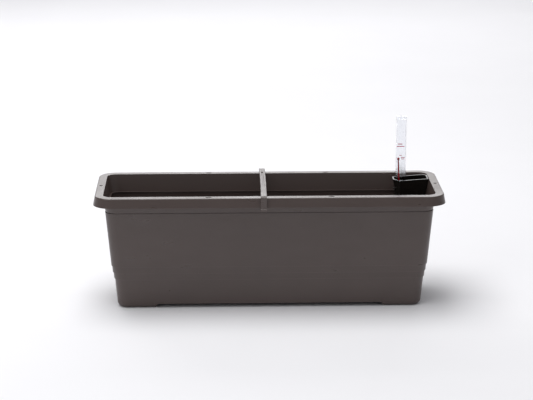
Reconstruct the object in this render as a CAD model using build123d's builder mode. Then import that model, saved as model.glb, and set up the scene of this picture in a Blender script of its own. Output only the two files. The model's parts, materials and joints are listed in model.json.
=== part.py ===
from build123d import *

import os

# A self watering balcony planter with its water level indicator.
# Millimetres. +X runs along the trough, +Y to the rear and +Z up.
# The origin is on the floor, under the middle of the trough.

os.makedirs("parts", exist_ok=True)

# Trough
trough_length = 600.0
trough_width = 195.0
rim_top = 201.4
wall = 2.6
rim_face = 14.0
skirt_height = 16.0
skirt_flare = 3.2
skirt_wall = 2.4
rim_edge_radius = 2.0
kink_height = 171.0
kink_step = 0.9
ledge_width = 2.2
ledge_depth = 4.0
corner_radius = 18.0
base_half_length = 262.0
base_half_width = 67.0
end_draft = 0.087
side_draft = 0.0444
step_heights = (51.5, 63.0, 75.0)
step_depth = 1.13
inner_step_rise = 1.6
base_edge_radius = 9.0
foot_height = 7.5
foot_inner_x = 197.0
foot_inner_y = 27.0
foot_slant = 4.0
foot_wall = 3.0
foot_pocket_radius = 6.0
floor_top = foot_height + wall
floor_edge_radius = 6.4

# Holes in the rim
slot_x = 104.0
slot_y = 86.0
slot_length = 10.5
slot_width = 4.0
end_hole_x = 289.8
end_hole_radius = 3.0

# Overflow hole in the rear wall, and its plug
overflow_height = 40.0
overflow_radius = 5.2
pad_radius = 10.5
pad_face_y = 70.6
pad_depth = 6.0
overflow_depth = 10.0
plug_clearance = 0.3
plug_head_radius = 9.0
plug_head = 3.0
plug_tip_radius = 0.8
plug_reach_y = 64.0
grip_length = 12.0
grip_width = 3.0
grip_depth = 3.6
grip_corner_radius = 1.2
seal_thickness = 1.5
seal_radius = 7.6
seal_gap = 0.05

# Cross brace over the rim
brace_width = 10.2
brace_thickness = 4.3
brace_lift = 0.2
brace_front_x = -11.0
brace_middle_x = -9.4
brace_rear_x = -9.0
brace_corner = 2.6
brace_edge_radius = 0.8
hook_gap = 0.45
hook_top_gap = 0.85
hook_wall = 2.5
hook_bottom = 179.0
hook_lip_height = 4.0
hook_lip = 0.8
barb_depth = 1.3
barb_drop = 0.3
barb_tip_drop = 0.9
hook_mouth = 0.9
hook_mouth_height = 1.5
groove_x = -9.2
groove_width = 2.4
groove_depth = 1.6
groove_front_y = -28.0
groove_rear_y = 74.0

# Two deck plates that divide the soil from the water
deck_gap = 0.5
deck_clearance = 0.35
deck_rest = 0.2
deck_thickness = 2.4
deck_bottom = step_heights[0] + inner_step_rise + deck_rest
deck_top = deck_bottom + deck_thickness
leg_front_x = (36.5, 132.5, 228.5)
leg_rear_x = (36.5, 120.0, 203.0)
leg_y = 42.0
leg_foot_radius = 8.5
leg_top_radius = 10.5
leg_wall = 1.8
leg_gap = 0.3
leg_bottom = floor_top + leg_gap
deck_rib_y = 19.7
deck_rib_depth = 5.0
deck_rib_wall = 1.6
rib_start_x = 6.0
rib_end_x = 256.0
drain_radius = 2.5
drain_pitch = 20.0
drain_first_x = 14.0
drain_count = 13
drain_rows = (-60.0, -24.5, 24.5, 60.0)
notch_clearance = 2.0

# Felt wicks, threaded through pairs of slots in the deck
wick_x = (-186.0, -80.0, 80.0, 186.0)
wick_width = 30.0
wick_thickness = 1.8
wick_span = 42.0
wick_gap = 1.9
wick_bottom = floor_top + wick_gap
wick_bend = 2.4
wick_rise = 0.3
wick_slot_length = 34.0
wick_slot_width = 4.6

# Filler chute near the rear right corner. Seen from above it has five corners: its front and
# rear walls slant, and its left front corner is cut off.
mouth_top = 201.0
lip_height = 2.5
lip_width = 0.8
lip_edge_radius = 0.5
mouth_left = 219.3
mouth_right = 282.1
chute_left = 222.5
collar_height = 188.0
collar_right = 279.8
web_top = 174.5
web_right = 275.5
web_bottom = 172.5
web_end_x = 246.0
shoulder_right = 274.8
roof_top = 62.0
roof_right = 264.0
roof_thickness = 2.0
chute_slant = 0.27
chute_front = (229.5, 18.4)
chute_left_y = 31.5
chute_rear_y = 51.0
chute_wall = 1.6
chute_corner_radius = 8.0
chute_edge_radius = 1.9
chamber_bottom = 17.5
chamber_right = 258.5
chamber_wall = 1.4
chamber_corner_radius = 12.0
chamber_vent_height = 12.0
chamber_vent_width = 3.0
chamber_front_vents = (234.0, 242.0, 250.0)
chamber_left_vents = (38.0, 45.0)
retainer_width = 5.0
retainer_thickness = 1.6
apron_bottom = 53.5
apron_thickness = 2.0
apron_front_y = 46.0
apron_clearance = 0.7
drain_place = (252.0, 42.0)
drain_length = 8.0
drain_width = 14.0
tab_thickness = 2.0
tab_gap = 0.2
rear_tab_x = 242.0
rear_tab_width = 6.0
rear_tab_start_y = 56.3
rear_tab_end_y = 74.9
end_tab_y = 48.0
end_tab_width = 6.0
end_tab_start_x = 273.6
end_tab_end_x = 277.2
lift_tab_bottom = 184.0
lift_tab_place = (222.3, 31.0)
lift_tab_length = 5.6
lift_tab_width = 6.0

# Clear indicator tube with its cap
tube_x = 233.5
tube_y = 41.0
tube_width = 17.6
tube_depth = 7.6
tube_wall = 1.1
tube_edge_radius = 1.6
tube_rest = 0.2
tube_bottom = roof_top + tube_rest
tube_top = 310.6
tube_clearance = 0.35
guide_x = 234.8
guide_wall = 0.8
guide_share = 0.7
guide_bottom = 182.0
guide_top = 227.0
cap_flange = 1.4
cap_plug_depth = 4.0
cap_fit = 0.05
arch_x = 231.9
arch_radius = 1.8
arch_hole_radius = 0.9
arch_wall = 2.2

# Float, with the red rod that shows its height
float_x = 238.5
float_y = 40.5
float_length = 23.0
float_width = 19.0
float_bottom = 19.6
float_height = 14.0
float_edge_radius = 2.5
rod_bottom = (236.6, tube_y, 26.0)
rod_top = (229.0, tube_y, 235.4)
rod_bottom_radius = 1.5
rod_top_radius = 1.1
ball_radius = 2.35
rod_slot_x = 235.85
rod_slot_length = 6.0
rod_slot_width = 3.8


def outer_half(height, steps):
    """Half length and half width of the wall's outer face, above so many steps."""
    grown = steps * step_depth
    return (
        base_half_length + end_draft * height + grown,
        base_half_width + side_draft * height + grown,
    )


def inward(half, distance):
    """A pair of half sizes, both made smaller by a distance."""
    return half[0] - distance, half[1] - distance


def section(height, half, radius):
    """A level rectangle with rounded corners, from its half sizes."""
    with BuildSketch(Plane.XY.offset(height)) as outline:
        RectangleRounded(2 * half[0], 2 * half[1], radius)
    return outline.sketch


def stepped_body(bottom, inset, rise, edge_radius):
    """The tapered, stepped body below the kink: solid for the wall, or its cavity."""
    levels = [bottom] + [height + rise for height in step_heights] + [kink_height]
    radius = corner_radius - inset
    with BuildPart() as body:
        for steps in range(len(step_heights) + 1):
            low = levels[steps]
            high = levels[steps + 1]
            loft(
                [
                    section(low, inward(outer_half(low, steps), inset), radius),
                    section(high, inward(outer_half(high, steps), inset), radius),
                ],
                ruled=True,
            )
        fillet(body.edges().group_by(Axis.Z)[0], edge_radius)
    return body.part


def front_wall_y(x):
    """Where the chute's slanting front wall stands, at any x."""
    return chute_front[1] + chute_slant * (x - chute_front[0])


def chute_outline(left, right):
    """The chute's five corners, from the left rear one round the front to the right rear one."""
    return [
        (left, chute_rear_y),
        (left, chute_left_y),
        chute_front,
        (right, front_wall_y(right)),
        (right, chute_rear_y + chute_slant * (right - left)),
    ]


def chute_section(height, left, right, inset=0.0, corner=chute_corner_radius):
    """A level outline of the chute, with two corners rounded, set in by a distance."""
    with BuildSketch(Plane.XY.offset(height)) as outline:
        with BuildLine():
            Polyline(*chute_outline(left, right), close=True)
        make_face()
        fillet(outline.vertices().sort_by(Axis.X)[-2:].sort_by(Axis.Y)[-1], corner)
        fillet(outline.vertices().sort_by(Axis.Y)[0], chute_edge_radius)
        if inset:
            offset(amount=-inset, mode=Mode.REPLACE)
    return outline.sketch


inner_rim_half = (
    trough_length / 2 - skirt_flare - rim_face,
    trough_width / 2 - skirt_flare - rim_face,
)
skirt_half = (trough_length / 2, trough_width / 2)
rim_half = inward(skirt_half, skirt_flare)
rim_radius = corner_radius - wall + rim_face
skirt_bottom = rim_top - skirt_height
all_steps = len(step_heights)
kink_half = outer_half(kink_height, all_steps)
kink_inner_half = inward(kink_half, wall)
inner_radius = corner_radius - wall


def trough_cavity():
    """The hollow of the trough, with the thin ledge that runs round it at the kink."""
    with BuildPart() as cavity:
        add(stepped_body(floor_top, wall, inner_step_rise, floor_edge_radius))
        loft(
            [
                section(kink_height, kink_inner_half, inner_radius),
                section(rim_top, inner_rim_half, inner_radius),
            ],
            ruled=True,
        )
    return cavity.part


def ledge_ring():
    """The ledge: level on top, and sloping back into the wall below."""
    low = kink_height - ledge_depth
    low_half = inward(outer_half(low, all_steps), wall)
    with BuildPart() as ring:
        loft(
            [
                section(low, inward(low_half, -wall / 2), corner_radius - wall / 2),
                section(kink_height, inward(kink_inner_half, -wall / 2), corner_radius - wall / 2),
            ],
            ruled=True,
        )
        loft(
            [
                section(low, low_half, inner_radius),
                section(kink_height, inward(kink_inner_half, ledge_width), inner_radius - ledge_width),
            ],
            ruled=True,
            mode=Mode.SUBTRACT,
        )
    return ring.part


def channel_profile(half):
    """The section of a channel under the base, with slanting sides, open at the floor."""
    slant = foot_slant / foot_height
    below = -foot_height
    return [
        (-half + below * slant, below),
        (-half + foot_slant, foot_height),
        (half - foot_slant, foot_height),
        (half - below * slant, below),
    ]


wall_body = stepped_body(0.0, 0.0, 0.0, base_edge_radius)
cavity_body = trough_cavity()
ledge_body = ledge_ring()

with BuildPart() as trough:
    # The rim: a flat face with a skirt that flares outward below it.
    loft(
        [
            section(skirt_bottom, skirt_half, rim_radius + skirt_flare),
            section(rim_top, rim_half, rim_radius),
        ],
        ruled=True,
    )
    fillet(trough.edges().group_by(Axis.Z)[-1], rim_edge_radius)
    loft(
        [
            section(skirt_bottom, inward(skirt_half, skirt_wall), rim_radius + skirt_flare - skirt_wall),
            section(rim_top - skirt_wall, inward(rim_half, skirt_wall), rim_radius - skirt_wall),
        ],
        ruled=True,
        mode=Mode.SUBTRACT,
    )
    # The wall: a stepped, tapered body below the kink and a flared collar above it.
    add(wall_body)
    loft(
        [
            section(kink_height, inward(kink_half, kink_step), corner_radius),
            section(rim_top - skirt_wall / 2, inward(inner_rim_half, -wall), corner_radius),
        ],
        ruled=True,
    )
    # Four feet are left when two crossing channels are cut from the base.
    with BuildSketch(Plane.XZ):
        with BuildLine():
            Polyline(*channel_profile(foot_inner_x), close=True)
        make_face()
    extrude(amount=trough_width, both=True, mode=Mode.SUBTRACT)
    with BuildSketch(Plane.YZ):
        with BuildLine():
            Polyline(*channel_profile(foot_inner_y), close=True)
        make_face()
    extrude(amount=trough_length, both=True, mode=Mode.SUBTRACT)
    # Each foot is hollow from below.
    foot_far_x = base_half_length - base_edge_radius - foot_wall
    foot_far_y = base_half_width - base_edge_radius - foot_wall
    pocket_near_x = foot_inner_x + foot_wall
    pocket_near_y = foot_inner_y + foot_wall
    with BuildSketch(Plane.XY):
        with GridLocations(foot_far_x + pocket_near_x, foot_far_y + pocket_near_y, 2, 2):
            RectangleRounded(foot_far_x - pocket_near_x, foot_far_y - pocket_near_y, foot_pocket_radius)
    extrude(amount=foot_height, mode=Mode.SUBTRACT)
    # A flat pad on the rear wall carries the overflow hole.
    with BuildSketch(Plane.XZ.offset(-pad_face_y)):
        with Locations((0, overflow_height)):
            Circle(pad_radius)
    extrude(amount=pad_depth)
    add(cavity_body, mode=Mode.SUBTRACT)
    add(ledge_body)
    with BuildSketch(Plane.XZ.offset(-pad_face_y)):
        with Locations((0, overflow_height)):
            Circle(overflow_radius)
    extrude(amount=overflow_depth, mode=Mode.SUBTRACT)
    # Slots in the long rims and round holes in the end rims.
    with BuildSketch(Plane.XY.offset(rim_top)):
        with GridLocations(2 * slot_x, 2 * slot_y, 2, 2):
            SlotOverall(slot_length, slot_width)
        with GridLocations(2 * end_hole_x, 0, 2, 1):
            Circle(end_hole_radius)
    extrude(amount=-2 * skirt_wall, mode=Mode.SUBTRACT)

brace_bottom = rim_top + brace_lift
brace_top = brace_bottom + brace_thickness
skirt_y = trough_width / 2
hook_in_bottom = skirt_y + hook_gap
hook_in_top = skirt_y - skirt_flare + hook_top_gap
hook_out = hook_in_bottom + hook_wall
hook_foot = hook_out + hook_lip
brace_profile = [
    (0, brace_bottom),
    (hook_in_top, brace_bottom),
    (hook_in_bottom, skirt_bottom - barb_drop),
    (hook_in_bottom - barb_depth, skirt_bottom - barb_tip_drop),
    (hook_in_bottom + hook_mouth / 2, hook_bottom + hook_mouth_height),
    (hook_in_bottom + hook_mouth, hook_bottom),
    (hook_foot, hook_bottom),
    (hook_foot, hook_bottom + hook_lip_height),
    (hook_out, hook_bottom + hook_lip_height + hook_lip),
    (hook_out, brace_top - brace_corner),
    (hook_out - brace_corner, brace_top),
    (0, brace_top),
]

with BuildPart() as cross_brace:
    # The side profile: a flat bar with a hook that grips the skirt at each end.
    with BuildSketch(Plane.YZ):
        with BuildLine():
            Polyline(*brace_profile, close=True)
        make_face()
        mirror(about=Plane.YZ)
    extrude(amount=2 * brace_width, both=True)
    # Seen from above the bar bends very slightly.
    with BuildSketch(Plane.XY.offset(hook_bottom)):
        with BuildLine():
            near_side = ThreePointArc(
                (brace_front_x - brace_width / 2, -hook_foot),
                (brace_middle_x - brace_width / 2, 0),
                (brace_rear_x - brace_width / 2, hook_foot),
            )
            far_side = ThreePointArc(
                (brace_front_x + brace_width / 2, -hook_foot),
                (brace_middle_x + brace_width / 2, 0),
                (brace_rear_x + brace_width / 2, hook_foot),
            )
            Line(near_side @ 0, far_side @ 0)
            Line(near_side @ 1, far_side @ 1)
        make_face()
    extrude(amount=brace_top - hook_bottom, mode=Mode.INTERSECT)
    # A groove runs along the top, from the middle to the rear.
    with BuildSketch(Plane.XY.offset(brace_top)):
        with Locations((groove_x, (groove_front_y + groove_rear_y) / 2)):
            SlotOverall(groove_rear_y - groove_front_y, groove_width, rotation=90)
    extrude(amount=-groove_depth, mode=Mode.SUBTRACT)
    top_edges = cross_brace.edges().group_by(Axis.Z)[-1]
    fillet(top_edges.filter_by(lambda edge: edge.length > trough_width / 2), brace_edge_radius)


def deck_notch(height):
    """The corner cut from the right deck, clear of the chute's left side and slanting front wall."""
    left = chute_left - notch_clearance
    with BuildSketch(Plane.XY.offset(height)) as notch:
        with BuildLine():
            Polyline(
                (left, front_wall_y(left) - notch_clearance),
                (trough_length, front_wall_y(trough_length) - notch_clearance),
                (trough_length, trough_width),
                (left, trough_width),
                close=True,
            )
        make_face()
    return notch.sketch


def deck_plate(side, notched):
    """One deck plate on its legs. side is -1 on the left and 1 on the right."""
    ledge_height = step_heights[0] + inner_step_rise
    half = inward(outer_half(ledge_height, 1), wall + deck_clearance)
    with BuildPart() as deck:
        with BuildSketch(Plane.XY.offset(deck_bottom)):
            RectangleRounded(2 * half[0], 2 * half[1], inner_radius)
            with Locations((-side * (half[0] - deck_gap), 0)):
                Rectangle(2 * half[0], 2 * trough_width, mode=Mode.SUBTRACT)
            for x in (x for x in wick_x if x * side > 0):
                for slot_end in (-1, 1):
                    with Locations((x + slot_end * wick_span / 2, 0)):
                        Rectangle(wick_slot_width, wick_slot_length, mode=Mode.SUBTRACT)
            for row in drain_rows:
                for place in range(drain_count):
                    x = side * (drain_first_x + place * drain_pitch)
                    beside_chute = notched and x > chute_left - drain_pitch / 2 and row > 0
                    if not beside_chute and abs(x) < half[0] - inner_radius:
                        with Locations((x, row)):
                            Circle(drain_radius, mode=Mode.SUBTRACT)
        extrude(amount=deck_thickness)
        # Stiffening ribs under the plate
        with BuildSketch(Plane.XY.offset(deck_bottom)):
            with Locations((side * (rib_start_x + rib_end_x) / 2, 0)):
                with GridLocations(0, 2 * deck_rib_y, 1, 2):
                    Rectangle(rib_end_x - rib_start_x, deck_rib_wall)
        extrude(amount=-deck_rib_depth)
        if notched:
            # The corner is cut away round the filler chute.
            rib_foot = deck_bottom - deck_rib_depth
            extrude(deck_notch(rib_foot), amount=deck_top - rib_foot, mode=Mode.SUBTRACT)
        # Hollow legs that stand on the floor of the trough
        leg_places = [(side * x, -leg_y) for x in leg_front_x] + [(side * x, leg_y) for x in leg_rear_x]
        leg_tall = deck_bottom - leg_bottom
        leg_middle = leg_bottom + leg_tall / 2
        with Locations(*[(x, y, leg_middle) for x, y in leg_places]):
            Cone(leg_foot_radius, leg_top_radius, leg_tall)
        with Locations(*[(x, y, leg_middle) for x, y in leg_places]):
            Cone(leg_foot_radius - leg_wall, leg_top_radius - leg_wall, leg_tall, mode=Mode.SUBTRACT)
    return deck.part


with BuildPart() as left_deck:
    add(deck_plate(-1, False))

with BuildPart() as right_deck:
    add(deck_plate(1, True))


def wick(x):
    """A strip of felt: its middle lies on the deck and both ends hang in the water."""
    middle = deck_top + wick_rise + wick_thickness / 2
    with BuildPart() as strip:
        with BuildSketch(Plane.XZ):
            with BuildLine():
                FilletPolyline(
                    (x - wick_span / 2, wick_bottom),
                    (x - wick_span / 2, middle),
                    (x + wick_span / 2, middle),
                    (x + wick_span / 2, wick_bottom),
                    radius=wick_bend,
                )
            trace(line_width=wick_thickness)
        extrude(amount=wick_width / 2, both=True)
    return strip.part


def chamber_section(inset):
    """The outline of the float chamber at its foot, with a well rounded rear right corner."""
    return chute_section(chamber_bottom, chute_left, chamber_right, inset, chamber_corner_radius)


# Height, left side and right side of the chute, from its foot up to its lip
lip_bottom = mouth_top - lip_height
chute_levels = [
    (roof_top, chute_left, roof_right),
    (web_bottom, chute_left, shoulder_right),
    (web_top, chute_left, web_right),
    (collar_height, chute_left, collar_right),
    (lip_bottom, mouth_left + lip_width, mouth_right - lip_width),
]

with BuildPart() as filler_chute:
    # The pouring chute, then the lip round its mouth
    for lower, upper in zip(chute_levels, chute_levels[1:]):
        loft([chute_section(*lower), chute_section(*upper)], ruled=True)
    extrude(chute_section(lip_bottom, mouth_left, mouth_right), amount=lip_height)
    fillet(filler_chute.edges().group_by(Axis.Z)[-1], lip_edge_radius)
    # The float chamber under the deck, with its roof
    extrude(chamber_section(0.0), amount=roof_top - chamber_bottom)
    extrude(chute_section(roof_top, chute_left, roof_right), amount=-roof_thickness)
    # The roof is square where the chute's corner is cut off, to fill the corner of the deck's notch.
    with BuildSketch(Plane.XY.offset(roof_top)):
        with BuildLine():
            Polyline(
                (chute_left, chute_left_y),
                (chute_left, front_wall_y(chute_left)),
                chute_front,
                close=True,
            )
        make_face()
    extrude(amount=-roof_thickness)
    # A thin apron closes the gap between the chamber and the trough at the level of the deck.
    apron_half = inward(outer_half(apron_bottom, 1), wall + apron_clearance)
    with BuildSketch(Plane.XY.offset(apron_bottom)):
        RectangleRounded(2 * apron_half[0], 2 * apron_half[1], inner_radius)
        with Locations((chute_left, apron_front_y)):
            Rectangle(trough_length, trough_width, align=(Align.MIN, Align.MIN), mode=Mode.INTERSECT)
    extrude(amount=apron_thickness)
    # The hollow of the chute, in three lengths. The web between the first two is left in.
    hollow_levels = [
        (chute_section(*chute_levels[0], chute_wall), chute_section(*chute_levels[1], chute_wall)),
        (chute_section(*chute_levels[2], chute_wall), chute_section(*chute_levels[3], chute_wall)),
        (
            chute_section(*chute_levels[3], chute_wall),
            chute_section(mouth_top, mouth_left, mouth_right, chute_wall + lip_width),
        ),
    ]
    for lower_section, upper_section in hollow_levels:
        loft([lower_section, upper_section], ruled=True, mode=Mode.SUBTRACT)
    # The hollow of the chamber, open below
    extrude(
        chamber_section(chamber_wall),
        amount=roof_top - roof_thickness - chamber_bottom,
        mode=Mode.SUBTRACT,
    )
    # Two openings in the roof: one lets the water down and one guides the rod.
    with BuildSketch(Plane.XY.offset(roof_top)):
        with Locations((rod_slot_x, tube_y)):
            Rectangle(rod_slot_length, rod_slot_width)
        with Locations(drain_place):
            Rectangle(drain_length, drain_width)
    extrude(amount=-roof_thickness, mode=Mode.SUBTRACT)
    # Narrow vents let the water through the chamber's front and left walls.
    with BuildSketch(Plane.XY.offset(chamber_bottom)):
        for x in chamber_front_vents:
            with Locations((x, front_wall_y(x))):
                Rectangle(chamber_vent_width, 4 * chamber_wall)
        with Locations(*[(chute_left, y) for y in chamber_left_vents]):
            Rectangle(4 * chamber_wall, chamber_vent_width)
    extrude(amount=chamber_vent_height, mode=Mode.SUBTRACT)
    # A bar across the foot of the chamber keeps the float in when the filler is lifted out.
    with BuildSketch(Plane.XY.offset(chamber_bottom)):
        add(chamber_section(0.0))
        with Locations((float_x, float_y)):
            Rectangle(retainer_width, trough_width, mode=Mode.INTERSECT)
    extrude(amount=retainer_thickness)
    # The web holds the indicator tube upright, and is open on the right for the water.
    with BuildSketch(Plane.XY.offset(web_bottom)):
        add(chute_section(web_bottom, chute_left, shoulder_right, chute_wall))
        with Locations((web_end_x, 0)):
            Rectangle(trough_length, trough_width, align=(Align.MAX, Align.CENTER), mode=Mode.SUBTRACT)
        with Locations((tube_x, tube_y)):
            RectangleRounded(
                tube_width + 2 * tube_clearance, tube_depth + 2 * tube_clearance, tube_edge_radius
            )
    extrude(amount=web_top - web_bottom, mode=Mode.SUBTRACT)
    # Two tabs rest on the ledge of the trough.
    with BuildSketch(Plane.XY.offset(kink_height + tab_gap)):
        with Locations((rear_tab_x, rear_tab_start_y)):
            Rectangle(rear_tab_width, rear_tab_end_y - rear_tab_start_y, align=(Align.CENTER, Align.MIN))
        with Locations((end_tab_start_x, end_tab_y)):
            Rectangle(end_tab_end_x - end_tab_start_x, end_tab_width, align=(Align.MIN, Align.CENTER))
    extrude(amount=tab_thickness)
    # A small tab on the left side, to lift the filler by
    with BuildSketch(Plane.XY.offset(lift_tab_bottom)):
        with Locations(lift_tab_place):
            Rectangle(lift_tab_length, lift_tab_width)
        add(chute_section(lift_tab_bottom, chute_left, collar_right, chute_wall / 2), mode=Mode.SUBTRACT)
    extrude(amount=tab_thickness)

tube_height = tube_top - tube_bottom
tube_inner_width = tube_width - 2 * tube_wall
tube_inner_depth = tube_depth - 2 * tube_wall

with BuildPart() as indicator_tube:
    with BuildSketch(Plane.XY.offset(tube_bottom)):
        with Locations((tube_x, tube_y)):
            RectangleRounded(tube_width, tube_depth, tube_edge_radius)
            RectangleRounded(
                tube_inner_width, tube_inner_depth, tube_edge_radius - tube_wall, mode=Mode.SUBTRACT
            )
    extrude(amount=tube_height)
    # A short rib inside keeps the top of the rod on its own side.
    with BuildSketch(Plane.XY.offset(guide_bottom)):
        with Locations((guide_x, tube_y + tube_inner_depth / 2)):
            Rectangle(guide_wall, guide_share * tube_inner_depth, align=(Align.CENTER, Align.MAX))
    extrude(amount=guide_top - guide_bottom)

with BuildPart() as indicator_cap:
    with BuildSketch(Plane.XY.offset(tube_top)):
        with Locations((tube_x, tube_y)):
            RectangleRounded(tube_width, tube_depth, tube_edge_radius)
    extrude(amount=cap_flange)
    with BuildSketch(Plane.XY.offset(tube_top)):
        with Locations((tube_x, tube_y)):
            RectangleRounded(
                tube_inner_width - 2 * cap_fit,
                tube_inner_depth - 2 * cap_fit,
                tube_edge_radius - tube_wall,
            )
    extrude(amount=-cap_plug_depth)
    # A small arch on top to pull the indicator out by
    with BuildSketch(Plane.XZ.offset(-tube_y)):
        with Locations((arch_x, tube_top + cap_flange)):
            Circle(arch_radius)
            Circle(arch_hole_radius, mode=Mode.SUBTRACT)
        with Locations((arch_x, tube_top + cap_flange)):
            Rectangle(4 * arch_radius, 2 * arch_radius, align=(Align.CENTER, Align.MAX), mode=Mode.SUBTRACT)
    extrude(amount=arch_wall / 2, both=True)

rod_start = Vector(*rod_bottom)
rod_line = Vector(*rod_top) - rod_start

with BuildPart() as float_rod:
    # A slender tapered rod that leans a little in its tube, with a ball on top
    with BuildSketch(Plane(origin=rod_start, z_dir=rod_line)):
        Circle(rod_bottom_radius)
    with BuildSketch(Plane(origin=rod_start + rod_line, z_dir=rod_line)):
        Circle(rod_top_radius)
    loft(ruled=True)
    with Locations(rod_start + rod_line):
        Sphere(ball_radius)

with BuildPart() as float_block:
    with BuildSketch(Plane.XY.offset(float_bottom)):
        with Locations((float_x, float_y)):
            RectangleRounded(float_length, float_width, 2 * float_edge_radius)
    extrude(amount=float_height)
    fillet(float_block.edges().group_by(Axis.Z)[0], float_edge_radius)
    fillet(float_block.edges().group_by(Axis.Z)[-1], float_edge_radius)
    # The rod is fixed in a hole in the float.
    add(float_rod.part, mode=Mode.SUBTRACT)

seal_y = pad_face_y + seal_gap
head_y = seal_y + seal_thickness

with BuildPart() as plug_seal:
    with BuildSketch(Plane.XZ.offset(-seal_y)):
        with Locations((0, overflow_height)):
            Circle(seal_radius)
            Circle(overflow_radius - plug_clearance + cap_fit, mode=Mode.SUBTRACT)
    extrude(amount=-seal_thickness)

with BuildPart() as overflow_plug:
    with BuildSketch(Plane.XZ.offset(-plug_reach_y)):
        with Locations((0, overflow_height)):
            Circle(overflow_radius - plug_clearance)
    extrude(amount=-(head_y - plug_reach_y))
    with BuildSketch(Plane.XZ.offset(-head_y)):
        with Locations((0, overflow_height)):
            Circle(plug_head_radius)
    extrude(amount=-plug_head)
    with BuildSketch(Plane.XZ.offset(-(head_y + plug_head))):
        with Locations((0, overflow_height)):
            RectangleRounded(grip_length, grip_width, grip_corner_radius)
    extrude(amount=-grip_depth)
    fillet(overflow_plug.edges().group_by(Axis.Y)[0], plug_tip_radius)

pieces = {
    "trough": trough.part,
    "cross_brace": cross_brace.part,
    "left_deck": left_deck.part,
    "right_deck": right_deck.part,
    "filler_chute": filler_chute.part,
    "indicator_tube": indicator_tube.part,
    "indicator_cap": indicator_cap.part,
    "float_rod": float_rod.part,
    "float_block": float_block.part,
    "overflow_plug": overflow_plug.part,
    "plug_seal": plug_seal.part,
}
for number, x in enumerate(wick_x, start=1):
    pieces[f"wick_{number}"] = wick(x)

for name, piece in pieces.items():
    piece.label = name
    export_step(piece, f"parts/{name}.step")
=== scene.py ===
import json
import math

import bmesh
import bpy
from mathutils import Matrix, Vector, noise


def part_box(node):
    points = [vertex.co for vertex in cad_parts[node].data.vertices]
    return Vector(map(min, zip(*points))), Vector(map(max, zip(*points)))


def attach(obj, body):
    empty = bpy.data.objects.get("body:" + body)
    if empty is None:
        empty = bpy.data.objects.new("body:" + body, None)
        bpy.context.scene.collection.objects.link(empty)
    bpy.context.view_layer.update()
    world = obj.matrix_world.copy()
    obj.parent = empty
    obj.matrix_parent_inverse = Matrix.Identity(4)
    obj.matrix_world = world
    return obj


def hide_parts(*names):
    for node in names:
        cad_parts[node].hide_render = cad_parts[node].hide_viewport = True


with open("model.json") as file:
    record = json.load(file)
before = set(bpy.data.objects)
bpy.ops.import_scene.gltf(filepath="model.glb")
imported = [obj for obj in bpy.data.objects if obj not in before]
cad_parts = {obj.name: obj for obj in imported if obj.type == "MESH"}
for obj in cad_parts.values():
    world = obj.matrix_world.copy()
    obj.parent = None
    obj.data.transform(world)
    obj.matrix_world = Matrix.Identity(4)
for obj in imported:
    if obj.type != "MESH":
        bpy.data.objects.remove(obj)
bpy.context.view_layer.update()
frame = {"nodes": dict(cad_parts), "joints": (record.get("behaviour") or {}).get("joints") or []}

nodes = frame["nodes"]

# The trough's outside, from which the camera is placed
trough_low, trough_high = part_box("trough")
trough_length = trough_high.x - trough_low.x
rim_top = trough_high.z
middle = Vector(((trough_low.x + trough_high.x) / 2, (trough_low.y + trough_high.y) / 2, 0))

# Felt strips
felt_thickness = 0.0018
felt_margin = 0.0004
felt_bend = 0.0026
felt_steps_along = 64
felt_steps_across = 14
felt_straight_top = 0.006
felt_sway = 0.0016
felt_raggedness = 0.0009
felt_seed_step = 17

# Printed level marks
ball_radius = 0.00235
ink_front = 0.00006
ink_back = 0.00001
ink_corner_share = 0.45
ink_corner_points = 4

# Camera
camera_azimuth = math.radians(-1.74)
camera_elevation = math.radians(16.23)
camera_distance = 5.345 * trough_length
camera_stand_height = 0.447 * rim_top
camera_aim = middle + Vector((-0.0036, 0, 0.861 * rim_top))
camera_sensor = 36.0
camera_lens = 123.75


# Small helpers for node materials

def new_material(name):
    """An empty node material: returns it, a node maker and a link maker, with its shader."""
    material = bpy.data.materials.new(name)
    material.use_nodes = True
    tree = material.node_tree
    tree.nodes.clear()

    def node(kind, **settings):
        made = tree.nodes.new(kind)
        for key, value in settings.items():
            if key in made.inputs:
                made.inputs[key].default_value = value
            else:
                setattr(made, key, value)
        return made

    link = tree.links.new
    shader = node("ShaderNodeBsdfPrincipled")
    output = node("ShaderNodeOutputMaterial")
    link(shader.outputs[0], output.inputs["Surface"])
    return material, node, link, shader


def noise_field(node, link, coordinates, scale, detail=2.0, stretch=(1, 1, 1)):
    """A noise value over the object, in object coordinates. scale is in features a metre."""
    mapping = node("ShaderNodeMapping", Scale=stretch)
    link(coordinates, mapping.inputs["Vector"])
    field = node("ShaderNodeTexNoise", Scale=scale, Detail=detail, Roughness=0.55)
    link(mapping.outputs[0], field.inputs["Vector"])
    return field.outputs[0]


def ramped(node, link, value, low, high, from_low=0.3, from_high=0.7):
    """A value spread between two others."""
    spread = node("ShaderNodeMapRange")
    spread.inputs["From Min"].default_value = from_low
    spread.inputs["From Max"].default_value = from_high
    spread.inputs["To Min"].default_value = low
    spread.inputs["To Max"].default_value = high
    link(value, spread.inputs["Value"])
    return spread.outputs[0]


def mixed(node, link, share, color_a, color_b):
    """A colour between two, by a share that is a socket or a number."""
    mix = node("ShaderNodeMix", data_type="RGBA")
    for socket, value in ((mix.inputs[0], share), (mix.inputs[6], color_a), (mix.inputs[7], color_b)):
        if isinstance(value, bpy.types.NodeSocket):
            link(value, socket)
        elif socket.type == "RGBA":
            socket.default_value = (*value, 1) if len(value) == 3 else value
        else:
            socket.default_value = value
    return mix.outputs[2]


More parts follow.
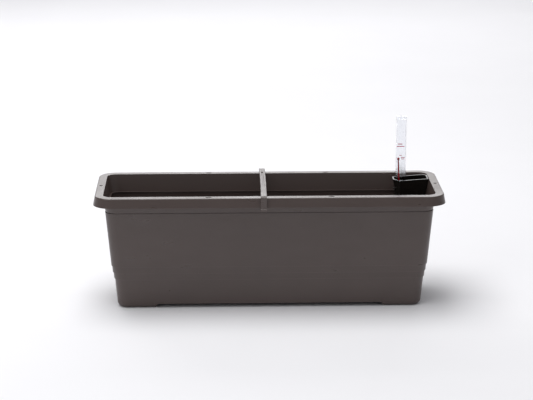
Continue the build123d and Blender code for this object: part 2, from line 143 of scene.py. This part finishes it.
def edge_mask(node, link, radius):
    """1 on sharp edges and 0 on flat faces: how far a rounded normal turns from the true one."""
    bevel = node("ShaderNodeBevel", samples=4, Radius=radius)
    geometry = node("ShaderNodeNewGeometry")
    dot = node("ShaderNodeVectorMath", operation="DOT_PRODUCT")
    link(bevel.outputs[0], dot.inputs[0])
    link(geometry.outputs["True Normal"], dot.inputs[1])
    return ramped(node, link, dot.outputs["Value"], 1.0, 0.0, 0.72, 0.98)


def bumped(node, link, shader, layers):
    """Stacks bump layers, each (height socket, distance in metres, strength), on a shader."""
    normal = None
    for height, distance, strength in layers:
        bump = node("ShaderNodeBump", Distance=distance, Strength=strength)
        link(height, bump.inputs["Height"])
        if normal is not None:
            link(normal, bump.inputs["Normal"])
        normal = bump.outputs[0]
    link(normal, shader.inputs["Normal"])


# Materials

def moulded_plastic(name, color, rough=0.45, specular=0.5, grain=0.00004, edge_highlight=0.25, mottle=0.06):
    """Injection moulded plastic: a fine eroded grain, faint mottling and a painted highlight on its edges.
    """
    material, node, link, shader = new_material(name)
    where = node("ShaderNodeTexCoord").outputs["Object"]
    clouds = noise_field(node, link, where, 9.0, 4.0)
    flow = noise_field(node, link, where, 60.0, 3.0, (0.25, 0.25, 1.0))
    specks = noise_field(node, link, where, 1400.0, 2.0)
    fine = noise_field(node, link, where, 3200.0, 1.0)
    dark = [c * (1 - mottle) for c in color]
    light = [min(1.0, c * (1 + mottle)) for c in color]
    tint = mixed(node, link, ramped(node, link, clouds, 0.0, 1.0), dark, light)
    streaked = mixed(node, link, ramped(node, link, flow, 0.0, 0.35), tint, dark)
    grained = mixed(node, link, ramped(node, link, specks, 0.0, 0.3), streaked, light)
    # Painted highlight: the base colour is made lighter in patches along sharp edges, to stand in for light
    # catching the edges and step lines.
    edge_highlight_color = [min(1.0, c * 1.7 + 0.02) for c in color]
    edges = edge_mask(node, link, 0.0013)
    patchy_edge_highlight = node("ShaderNodeMath", operation="MULTIPLY")
    link(edges, patchy_edge_highlight.inputs[0])
    link(ramped(node, link, clouds, edge_highlight * 0.3, edge_highlight), patchy_edge_highlight.inputs[1])
    link(mixed(node, link, patchy_edge_highlight.outputs[0], grained, edge_highlight_color), shader.inputs["Base Color"])
    link(ramped(node, link, flow, rough - 0.05, rough + 0.07), shader.inputs["Roughness"])
    shader.inputs["Specular IOR Level"].default_value = specular
    bumped(node, link, shader, [(specks, grain * 2, 0.3), (fine, grain, 0.4), (clouds, 0.0008, 0.2)])
    return material


def clear_plastic(name):
    """Clear polystyrene: faint moulding waves, hairline scuffs and walls thin enough to see through."""
    material, node, link, shader = new_material(name)
    where = node("ShaderNodeTexCoord").outputs["Object"]
    waves = noise_field(node, link, where, 90.0, 1.0, (1, 1, 0.2))
    scuffs = noise_field(node, link, where, 900.0, 2.0, (1, 1, 0.08))
    link(ramped(node, link, scuffs, 0.02, 0.14, 0.5, 0.8), shader.inputs["Roughness"])
    link(mixed(node, link, ramped(node, link, waves, 0.0, 1.0), (0.95, 0.96, 0.98), (0.985, 0.99, 1.0)),
         shader.inputs["Base Color"])
    shader.inputs["Transmission Weight"].default_value = 1.0
    shader.inputs["IOR"].default_value = 1.46
    bumped(node, link, shader, [(waves, 0.0003, 0.2)])
    # Most light passes straight through the thin walls.
    surface = shader.outputs[0].links[0].to_socket
    straight = node("ShaderNodeBsdfTransparent")
    straight.inputs[0].default_value = (0.95, 0.955, 0.965, 1)
    blend = node("ShaderNodeMixShader")
    blend.inputs[0].default_value = 0.45
    link(straight.outputs[0], blend.inputs[1])
    link(shader.outputs[0], blend.inputs[2])
    link(blend.outputs[0], surface)
    return material


def glossy_plastic(name, color, rough=0.22):
    """Bright pigmented plastic with a soft gloss and slight flow marks."""
    material, node, link, shader = new_material(name)
    where = node("ShaderNodeTexCoord").outputs["Object"]
    flow = noise_field(node, link, where, 220.0, 3.0, (1, 1, 0.3))
    dark = [c * 0.85 for c in color]
    link(mixed(node, link, ramped(node, link, flow, 0.0, 1.0), dark, color), shader.inputs["Base Color"])
    link(ramped(node, link, flow, rough, rough + 0.12), shader.inputs["Roughness"])
    bumped(node, link, shader, [(flow, 0.00012, 0.3)])
    return material


def foam(name):
    """Closed cell foam: packed round beads with darker joints."""
    material, node, link, shader = new_material(name)
    where = node("ShaderNodeTexCoord").outputs["Object"]
    beads = node("ShaderNodeTexVoronoi", feature="DISTANCE_TO_EDGE", Scale=380.0)
    link(where, beads.inputs["Vector"])
    joints = ramped(node, link, beads.outputs["Distance"], 0.0, 1.0, 0.0, 0.12)
    link(mixed(node, link, joints, (0.55, 0.55, 0.53), (0.84, 0.84, 0.82)), shader.inputs["Base Color"])
    shader.inputs["Roughness"].default_value = 0.6
    bumped(node, link, shader, [(beads.outputs["Distance"], 0.0006, 0.6)])
    return material


def rubber(name):
    """Dark soft rubber with a dusty bloom."""
    material, node, link, shader = new_material(name)
    where = node("ShaderNodeTexCoord").outputs["Object"]
    bloom = noise_field(node, link, where, 240.0, 4.0)
    tint = mixed(node, link, ramped(node, link, bloom, 0.0, 1.0), (0.014, 0.014, 0.014), (0.04, 0.04, 0.042))
    link(tint, shader.inputs["Base Color"])
    link(ramped(node, link, bloom, 0.6, 0.85), shader.inputs["Roughness"])
    bumped(node, link, shader, [(bloom, 0.0001, 0.4)])
    return material


def felt(name):
    """Needle felt: matted fibres, a soft sheen and a grey fleck."""
    material, node, link, shader = new_material(name)
    where = node("ShaderNodeTexCoord").outputs["Object"]
    fibres = noise_field(node, link, where, 700.0, 6.0, (1, 1, 0.45))
    flecks = noise_field(node, link, where, 260.0, 3.0)
    base = mixed(node, link, ramped(node, link, fibres, 0.0, 1.0), (0.52, 0.51, 0.47), (0.8, 0.79, 0.75))
    link(mixed(node, link, ramped(node, link, flecks, 0.0, 0.5, 0.55, 0.75), base, (0.34, 0.33, 0.31)),
         shader.inputs["Base Color"])
    shader.inputs["Roughness"].default_value = 0.95
    shader.inputs["Sheen Weight"].default_value = 0.4
    shader.inputs["Sheen Roughness"].default_value = 0.5
    bumped(node, link, shader, [(fibres, 0.0006, 0.8)])
    return material


def printed_ink(name, color):
    """Screen printed ink, a little uneven."""
    material, node, link, shader = new_material(name)
    where = node("ShaderNodeTexCoord").outputs["Object"]
    cover = noise_field(node, link, where, 1800.0, 2.0)
    light = [min(1.0, c * 1.25 + 0.02) for c in color]
    link(mixed(node, link, ramped(node, link, cover, 0.0, 1.0), color, light), shader.inputs["Base Color"])
    shader.inputs["Roughness"].default_value = 0.45
    bumped(node, link, shader, [(cover, 0.00002, 0.4)])
    return material


def studio_paper(name):
    """The pale seamless floor."""
    material, node, link, shader = new_material(name)
    where = node("ShaderNodeTexCoord").outputs["Object"]
    tooth = noise_field(node, link, where, 3.0, 3.0)
    link(mixed(node, link, ramped(node, link, tooth, 0.0, 1.0), (0.865, 0.86, 0.88), (0.88, 0.875, 0.895)),
         shader.inputs["Base Color"])
    shader.inputs["Roughness"].default_value = 0.9
    shader.inputs["Specular IOR Level"].default_value = 0.1
    return material


taupe = moulded_plastic(
    "taupe_plastic", (0.069, 0.0485, 0.043), rough=0.32, specular=0.6, grain=0.00002, edge_highlight=0.9
)
black = moulded_plastic("black_plastic", (0.02, 0.02, 0.02), rough=0.4, grain=0.00002)
black_gloss = moulded_plastic("black_gloss", (0.008, 0.007, 0.006), rough=0.2, grain=0.00001, edge_highlight=0.1)
clear = clear_plastic("clear_plastic")
red = glossy_plastic("red_plastic", (0.56, 0.006, 0.016))
float_foam = foam("white_foam")
seal_rubber = rubber("seal_rubber")
wick_felt = felt("felt")
red_ink = printed_ink("red_ink", (0.55, 0.02, 0.09))

finishes = {
    "trough": taupe,
    "cross_brace": taupe,
    "left_deck": black,
    "right_deck": black,
    "filler_chute": black_gloss,
    "indicator_tube": clear,
    "indicator_cap": clear,
    "float_rod": red,
    "float_block": float_foam,
    "overflow_plug": black,
    "plug_seal": seal_rubber,
}


def dress_cad_nodes():
    """Gives each carried-over CAD node its material."""
    for name, material in finishes.items():
        mesh = nodes[name].data
        mesh.materials.clear()
        mesh.materials.append(material)


# Pieces

def new_piece(name, mesh_maker, material):
    """An object made from a bmesh function, with its material, in the scene."""
    shape = bmesh.new()
    mesh_maker(shape)
    mesh = bpy.data.meshes.new(name)
    shape.to_mesh(mesh)
    shape.free()
    mesh.materials.append(material)
    piece = bpy.data.objects.new(name, mesh)
    bpy.context.scene.collection.objects.link(piece)
    return piece


def felt_wick(number, body):
    """A felt strip over the deck, with both soft ends hanging through the slots."""
    node_name = f"wick_{number}"
    low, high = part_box(node_name)
    seed = felt_seed_step * number
    width = high.y - low.y
    half_span = (high.x - low.x - felt_thickness) / 2
    centre = (low + high) / 2
    top = high.z - felt_thickness / 2
    bottom = low.z + felt_margin
    bend = felt_bend
    # The strip's middle line: up one leg, over the deck and down the other
    line = []
    leg = top - bend - bottom
    arc = bend * math.pi / 2
    run = 2 * (half_span - bend)
    total = 2 * leg + 2 * arc + run
    for i in range(felt_steps_along + 1):
        s = total * i / felt_steps_along
        if s < leg:
            line.append((-half_span, bottom + s))
        elif s < leg + arc:
            turn = (s - leg) / bend
            line.append((-half_span + bend - bend * math.cos(turn), top - bend + bend * math.sin(turn)))
        elif s < leg + arc + run:
            line.append((-half_span + bend + s - leg - arc, top))
        elif s < leg + 2 * arc + run:
            turn = (s - leg - arc - run) / bend
            line.append((half_span - bend + bend * math.sin(turn), top - bend + bend * math.cos(turn)))
        else:
            line.append((half_span, top - bend - (s - leg - 2 * arc - run)))

    def make(shape):
        rows = []
        for i, (x, z) in enumerate(line):
            # The strip sways more the further down it hangs, and is ragged at its two ends.
            depth = max(0.0, (top - felt_straight_top - z) / (top - bottom))
            row = []
            for j in range(felt_steps_across + 1):
                y = (j / felt_steps_across - 0.5) * (width - 2 * felt_margin)
                sway = noise.noise(Vector((x * 60 + seed, y * 70, z * 45))) * felt_sway * depth
                ragged = 0.0
                if i in (0, felt_steps_along):
                    ragged = noise.noise(Vector((seed, y * 900, x * 80))) * felt_raggedness
                row.append(shape.verts.new((centre.x + x + sway, centre.y + y, max(z + ragged, bottom))))
            rows.append(row)
        for lower, upper in zip(rows, rows[1:]):
            for a, b, c, d in zip(lower, lower[1:], upper[1:], upper):
                shape.faces.new((a, b, c, d))

    piece = new_piece(f"felt_{node_name}", make, wick_felt)
    for polygon in piece.data.polygons:
        polygon.use_smooth = True
    thicken = piece.modifiers.new("thickness", "SOLIDIFY")
    thicken.thickness = felt_thickness - 2 * felt_margin
    thicken.offset = 0.0
    soften = piece.modifiers.new("soft", "SUBSURF")
    soften.levels = 1
    soften.render_levels = 1
    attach(piece, body)
    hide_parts(node_name)
    return piece


def level_marks():
    """Red bars printed on the front of the indicator tube, at the highest and lowest water level."""
    tube_low, tube_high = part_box("indicator_tube")
    rod_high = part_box("float_rod")[1]
    rise = next(j for j in frame["joints"] if j["name"] == "float_rise")["range_m"][1]
    ball = rod_high.z - ball_radius
    centre = (tube_low.x + tube_high.x) / 2
    # Each bar: middle in x from the tube's centre, height from the ball at rest, length, thickness
    bars = [
        (-0.0013, rise - 0.0006, 0.0140, 0.0013),
        (-0.0022, rise + 0.0035, 0.0080, 0.0014),
        (0.0030, 0.0034, 0.0070, 0.0011),
        (0.0028, 0.0008, 0.0054, 0.0011),
        (-0.0012, 0.0072, 0.0048, 0.0010),
    ]
    face_y = tube_low.y

    def make(shape):
        for dx, dz, length, thickness in bars:
            ring = []
            radius = thickness * ink_corner_share
            for corner_x, corner_z, start in ((1, 1, 0), (-1, 1, 90), (-1, -1, 180), (1, -1, 270)):
                for k in range(ink_corner_points):
                    turn = math.radians(start + 30 * k)
                    x = centre + dx + corner_x * (length / 2 - radius) + radius * math.cos(turn)
                    z = ball + dz + corner_z * (thickness / 2 - radius) + radius * math.sin(turn)
                    ring.append((x, z))
            front = [shape.verts.new((x, face_y - ink_front, z)) for x, z in ring]
            back = [shape.verts.new((x, face_y - ink_back, z)) for x, z in ring]
            shape.faces.new(front)
            shape.faces.new(list(reversed(back)))
            for i in range(len(ring)):
                j = (i + 1) % len(ring)
                shape.faces.new((front[j], front[i], back[i], back[j]))

    piece = new_piece("level_marks", make, red_ink)
    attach(piece, "indicator")
    return piece


# Stage, light and camera

def seamless_floor():
    """A level floor that curves up into a backdrop behind the object."""
    half_width = 6.0
    front = -5.0
    bend_start = 3.2
    bend_radius = 2.0
    profile = [(front, 0.0), (bend_start, 0.0)]
    for k in range(1, 13):
        turn = math.radians(90 * k / 12)
        profile.append((bend_start + bend_radius * math.sin(turn), bend_radius * (1 - math.cos(turn))))
    profile.append((bend_start + bend_radius, 6.0))

    def make(shape):
        rows = [[shape.verts.new((x, y, z)) for x in (-half_width, half_width)] for y, z in profile]
        for (a, b), (d, c) in zip(rows, rows[1:]):
            shape.faces.new((a, b, c, d))

    floor = new_piece("seamless_floor", make, studio_paper("studio_paper"))
    for polygon in floor.data.polygons:
        polygon.use_smooth = True


def soft_box(name, place, aim, size, power, color=(1, 1, 1)):
    """A rectangular soft light, aimed at a point."""
    data = bpy.data.lights.new(name, "AREA")
    data.shape = "RECTANGLE"
    data.size, data.size_y = size
    data.energy = power
    data.color = color
    light = bpy.data.objects.new(name, data)
    light.location = place
    light.rotation_mode = "QUATERNION"
    light.rotation_quaternion = (Vector(aim) - Vector(place)).to_track_quat("-Z", "Y")
    bpy.context.scene.collection.objects.link(light)


def studio_light():
    """An even sky, a large box overhead, one behind for the level tops and a weak one in front."""
    world = bpy.data.worlds.new("studio")
    world.use_nodes = True
    background = world.node_tree.nodes["Background"]
    background.inputs[0].default_value = (0.97, 0.98, 1.0, 1)
    background.inputs[1].default_value = 0.36
    bpy.context.scene.world = world
    soft_box("top_box", (-0.5, 0.1, 2.6), (0, 0, 0), (2.4, 1.6), 55)
    soft_box("rear_box", (-0.4, 3.4, 1.75), (0, 0, 0.2), (4.0, 1.5), 52)
    soft_box("front_left_box", (-1.8, -2.4, 1.9), (0, 0, 0.1), (1.2, 1.2), 8)
    bpy.context.scene.view_settings.view_transform = "Standard"


def photo_camera():
    """The camera stands a little left of the middle and looks slightly down."""
    back = Vector((
        math.sin(camera_azimuth) * math.cos(camera_elevation),
        -math.cos(camera_azimuth) * math.cos(camera_elevation),
        math.sin(camera_elevation),
    ))
    stand = middle + Vector((0, 0, camera_stand_height)) + back * camera_distance
    data = bpy.data.cameras.new("camera")
    data.sensor_width = camera_sensor
    data.lens = camera_lens
    data.clip_end = 60.0
    camera = bpy.data.objects.new("camera", data)
    camera.location = stand
    camera.rotation_mode = "QUATERNION"
    camera.rotation_quaternion = (camera_aim - stand).to_track_quat("-Z", "Y")
    bpy.context.scene.collection.objects.link(camera)
    bpy.context.scene.camera = camera


dress_cad_nodes()
for wick_number in (1, 2, 3, 4):
    felt_wick(wick_number, "left_insert" if wick_number < 3 else "right_insert")
level_marks()
seamless_floor()
studio_light()
photo_camera()
